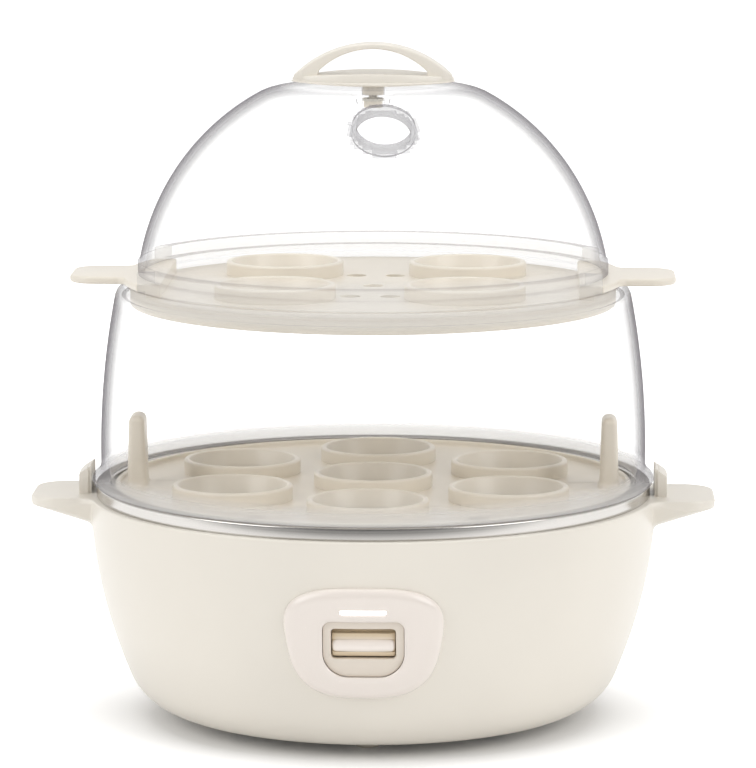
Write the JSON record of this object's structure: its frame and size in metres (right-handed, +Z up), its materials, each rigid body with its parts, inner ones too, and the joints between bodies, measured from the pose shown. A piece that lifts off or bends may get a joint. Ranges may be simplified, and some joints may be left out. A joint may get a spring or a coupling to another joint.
{
  "type": "egg cooker",
  "caption": "Two-tier electric egg cooker with a round heated base, egg trays, a clear ring, a clear dome lid with a steam vent, and a front rocker switch.",
  "frame": {"origin": "centre of the base on the surface that the feet stand on", "axes": "+Z up, -Y out of the front with the switch, +X to the right seen from the front"},
  "size_m": [0.2188, 0.1832, 0.2161],
  "materials": {
    "cream_plastic": "satin moulded plastic, warm cream",
    "bezel_plastic": "smooth moulded plastic, pale cream",
    "switch_plastic": "satin moulded plastic, cream",
    "rocker_plastic": "polished moulded plastic, cream",
    "tray_plastic": "satin moulded plastic, off-white cream",
    "clear_plastic": "clear polished plastic",
    "window_plastic": "translucent white plastic",
    "foot_rubber": "matte soft pad",
    "silicone": "matte silicone",
    "stainless_steel": "spun stainless steel",
    "zinc_steel": "zinc-plated steel",
    "sheath_steel": "oxidised steel sheath",
    "bare_aluminium": "mill finish",
    "brass_tabs": "bright brass",
    "black_plastic": "matte moulded plastic",
    "fuse_sleeve": "woven glass sleeve, white",
    "board_green": "board with solder mask",
    "component_plastic": "moulded component cases",
    "lead_sleeve": "lead insulation"
  },
  "bodies": {
    "base": {"base_shell": "cream_plastic", "bottom_cover": "cream_plastic", "foot_pads": "foot_rubber", "cover_screws": "zinc_steel", "heating_plate": "stainless_steel", "plate_gasket": "silicone", "heat_spreader": "bare_aluminium", "heating_element": "sheath_steel", "element_terminals": "brass_tabs", "plate_studs": "zinc_steel", "stud_nuts": "zinc_steel", "heat_shield": "bare_aluminium", "shield_screws": "zinc_steel", "thermostat": "black_plastic", "thermostat_clip": "zinc_steel", "thermal_fuse": "fuse_sleeve", "switch_bezel": "bezel_plastic", "switch_frame": "switch_plastic", "rocker_pin": "zinc_steel", "switch_body": "black_plastic", "switch_terminals": "brass_tabs", "indicator_lens": "window_plastic", "indicator_lamp": "board_green", "control_board": "board_green", "board_components": "component_plastic", "buzzer": "black_plastic", "board_screws": "zinc_steel", "terminal_block": "window_plastic", "cord_gland": "cream_plastic", "mains_leads": "lead_sleeve"},
    "lower_tray": {"lower_tray": "tray_plastic"},
    "middle_tier": {"middle_tier": "clear_plastic"},
    "upper_tray": {"upper_tray": "tray_plastic"},
    "lid": {"dome_lid": "clear_plastic", "lid_handle": "cream_plastic", "handle_washer": "silicone", "handle_screw": "cream_plastic"},
    "rocker": {"rocker": "rocker_plastic"}
  },
  "joints": [
    {"name": "lower_tray_lift", "type": "slide", "parent": "base", "child": "lower_tray", "axis": [0, 0, 1], "range_m": [0, 0.08]},
    {"name": "tier_lift", "type": "slide", "parent": "lower_tray", "child": "middle_tier", "axis": [0, 0, 1], "range_m": [0, 0.12]},
    {"name": "upper_tray_lift", "type": "slide", "parent": "middle_tier", "child": "upper_tray", "axis": [0, 0, 1], "range_m": [0, 0.1]},
    {"name": "lid_lift", "type": "slide", "parent": "upper_tray", "child": "lid", "axis": [0, 0, 1], "range_m": [0, 0.12]},
    {"name": "rocker_tilt", "type": "hinge", "parent": "base", "child": "rocker", "pos_m": [0, -0.07989, 0.0402], "axis": [-1, 0, 0], "range_deg": [0, 15]}
  ]
}
